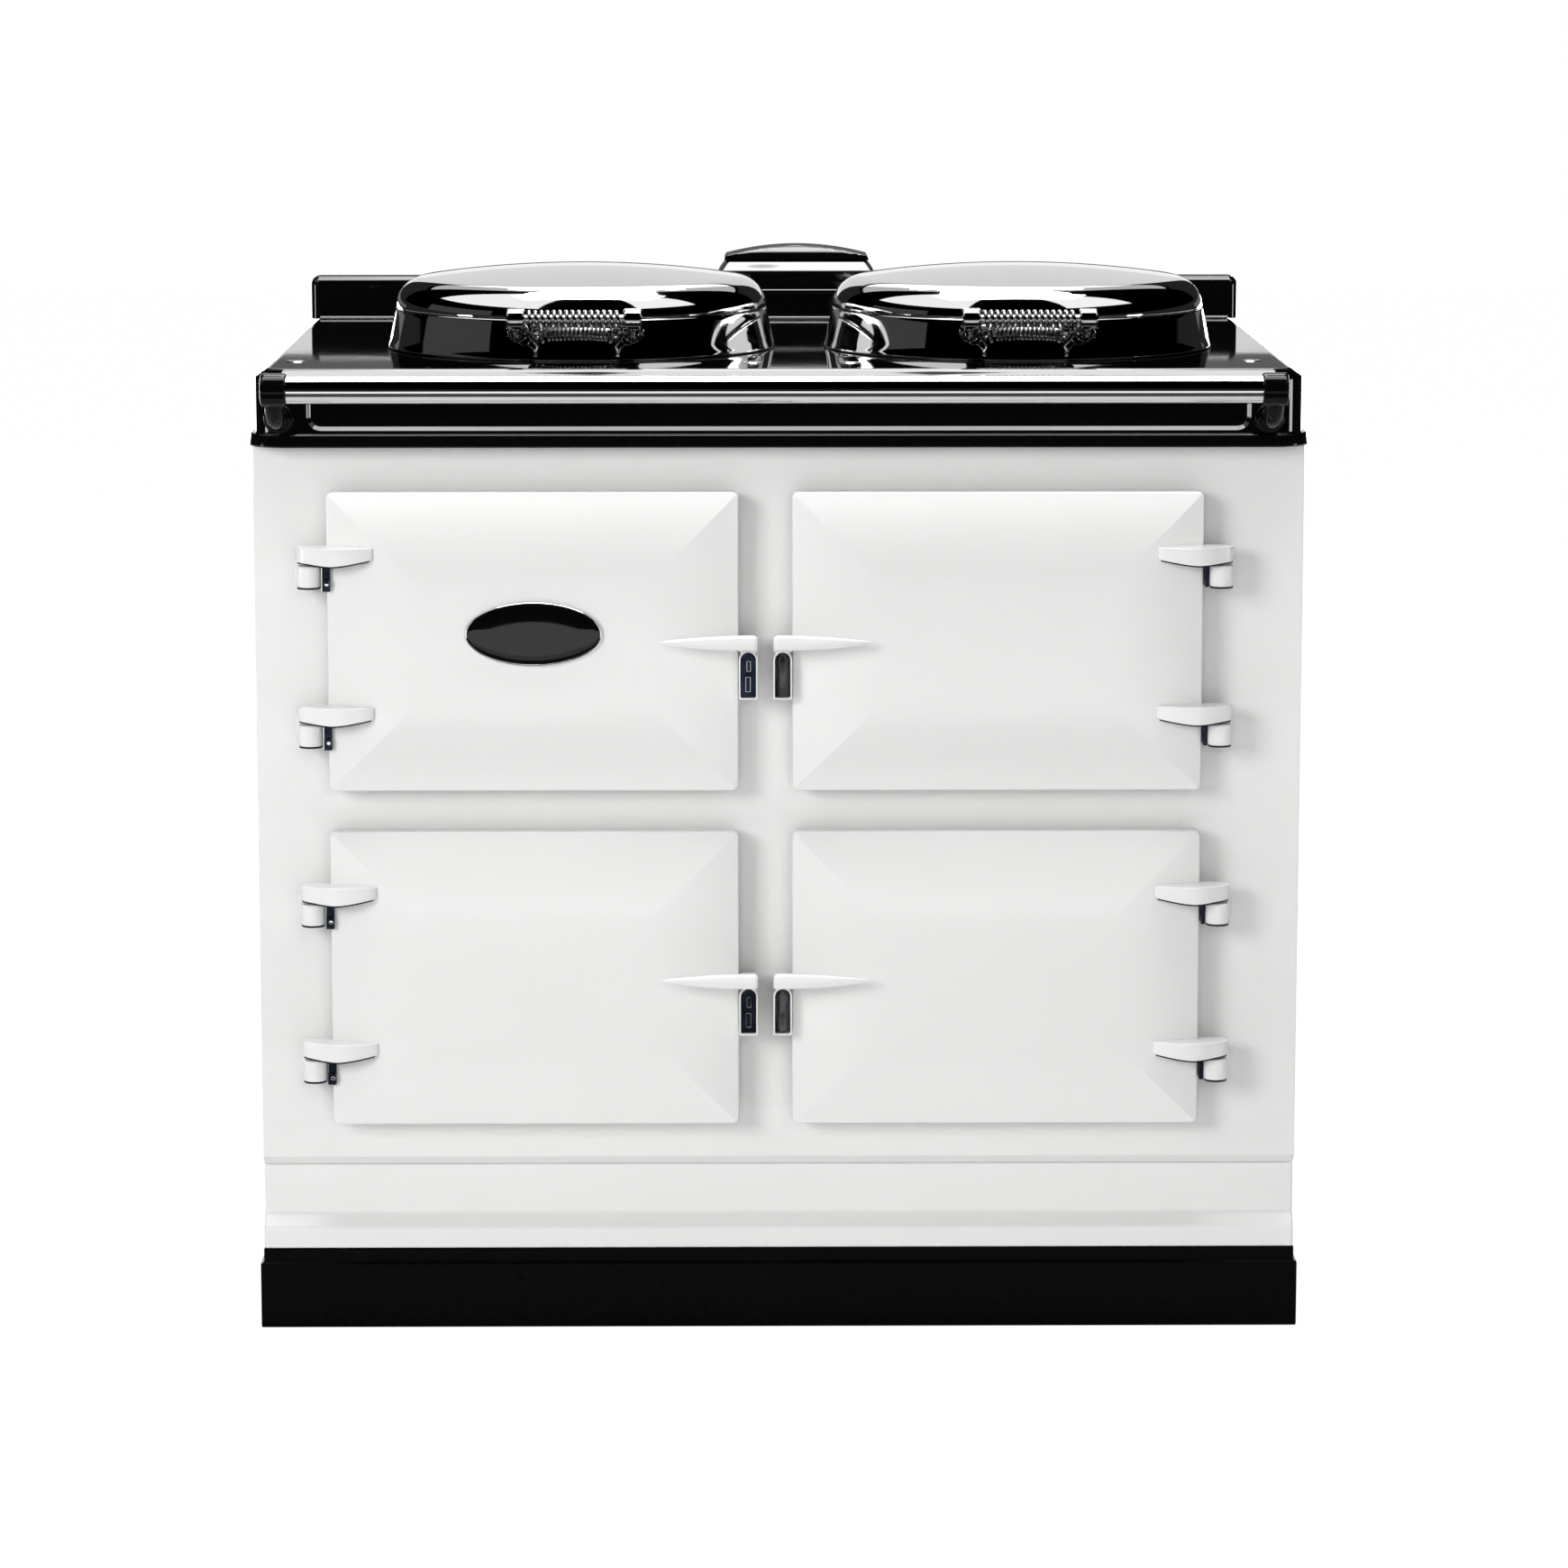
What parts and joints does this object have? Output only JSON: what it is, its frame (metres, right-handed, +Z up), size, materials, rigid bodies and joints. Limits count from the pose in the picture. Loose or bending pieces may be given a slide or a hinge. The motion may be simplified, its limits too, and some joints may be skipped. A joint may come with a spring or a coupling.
{
  "type": "cast iron range cooker",
  "caption": "Wide enamelled cast iron range cooker with hinged oven doors, domed chrome lids over its hotplates, a chrome hand rail and a rear flue chamber.",
  "frame": {"origin": "on the floor under the middle of the whole part's plan", "axes": "+X to the right as the cooker is faced, +Y to the back, +Z up"},
  "size_m": [0.987, 0.7634, 0.996],
  "materials": {
    "white_enamel": "gloss vitreous enamel on cast iron",
    "white_sheet": "gloss enamel on steel sheet",
    "black_enamel": "high gloss black enamel on cast iron",
    "black_paint": "satin black paint",
    "chrome": "polished chrome plate",
    "steel": "brushed",
    "dark_steel": "blackened, satin",
    "bare_iron": "bare, as cast",
    "aluminium": "pressed sheet, satin",
    "black_plastic": "moulded phenolic, gloss",
    "quilt": "mineral fibre"
  },
  "bodies": {
    "carcass": {"plinth": "black_paint", "levelling_feet": "steel", "base_plate": "steel", "lower_front_panel": "white_enamel", "front_panel": "white_enamel", "side_panels": "white_sheet", "back_panel": "steel", "top_plate": "black_enamel", "top_plate_plugs": "steel", "rear_upstand": "black_enamel", "flue_chamber": "black_enamel", "flue_cap": "black_enamel", "hand_rail": "chrome", "rail_brackets": "black_enamel", "hotplates": "bare_iron", "roasting_oven": "bare_iron", "simmering_oven": "bare_iron", "baking_oven": "bare_iron", "oven_shelves": "steel", "heating_elements": "steel", "control_housing": "bare_iron", "insulation_slabs": "quilt", "hinge_blocks": "white_enamel", "hinge_pins": "steel", "strikers": "steel", "door_seals": "quilt", "lid_hinge_brackets": "black_enamel", "cable_gland": "steel"},
    "door_top_left": {"door_top_left_casting": "white_enamel", "door_top_left_liner": "aluminium", "door_top_left_insulation": "quilt", "door_top_left_handle": "white_enamel", "door_top_left_latch": "dark_steel", "door_badge": "chrome"},
    "door_top_right": {"door_top_right_casting": "white_enamel", "door_top_right_liner": "aluminium", "door_top_right_insulation": "quilt", "door_top_right_handle": "white_enamel", "door_top_right_latch": "dark_steel"},
    "door_bottom_left": {"door_bottom_left_casting": "white_enamel", "door_bottom_left_liner": "aluminium", "door_bottom_left_insulation": "quilt", "door_bottom_left_handle": "white_enamel", "door_bottom_left_latch": "dark_steel"},
    "door_bottom_right": {"door_bottom_right_casting": "white_enamel", "door_bottom_right_liner": "aluminium", "door_bottom_right_insulation": "quilt", "door_bottom_right_handle": "white_enamel", "door_bottom_right_latch": "dark_steel"},
    "lid_left": {"lid_left_dome": "chrome", "lid_left_base": "chrome", "lid_left_handle": "chrome", "lid_left_coil_grip": "chrome", "lid_left_hinge_arm": "chrome"},
    "lid_right": {"lid_right_dome": "chrome", "lid_right_base": "chrome", "lid_right_handle": "chrome", "lid_right_coil_grip": "chrome", "lid_right_hinge_arm": "chrome"},
    "knob": {"thermostat_knob": "black_plastic"}
  },
  "joints": [
    {"name": "door_top_left_hinge", "type": "hinge", "parent": "carcass", "child": "door_top_left", "pos_m": [-0.4365, -0.32925, 0.587], "axis": [0, 0, -1], "range_deg": [0, 115]},
    {"name": "door_top_right_hinge", "type": "hinge", "parent": "carcass", "child": "door_top_right", "pos_m": [0.4105, -0.32925, 0.587], "axis": [0, 0, 1], "range_deg": [0, 115]},
    {"name": "door_bottom_left_hinge", "type": "hinge", "parent": "carcass", "child": "door_bottom_left", "pos_m": [-0.4365, -0.32925, 0.2685], "axis": [0, 0, -1], "range_deg": [0, 115]},
    {"name": "door_bottom_right_hinge", "type": "hinge", "parent": "carcass", "child": "door_bottom_right", "pos_m": [0.4105, -0.32925, 0.2685], "axis": [0, 0, 1], "range_deg": [0, 115]},
    {"name": "lid_left_hinge", "type": "hinge", "parent": "carcass", "child": "lid_left", "pos_m": [-0.191, 0.18875, 0.948], "axis": [-1, 0, 0], "range_deg": [0, 95]},
    {"name": "lid_right_hinge", "type": "hinge", "parent": "carcass", "child": "lid_right", "pos_m": [0.2346, 0.18875, 0.948], "axis": [-1, 0, 0], "range_deg": [0, 95]},
    {"name": "thermostat_turn", "type": "hinge", "parent": "carcass", "child": "knob", "pos_m": [-0.229, -0.16625, 0.663], "axis": [0, 1, 0], "range_deg": [-135, 135]}
  ]
}
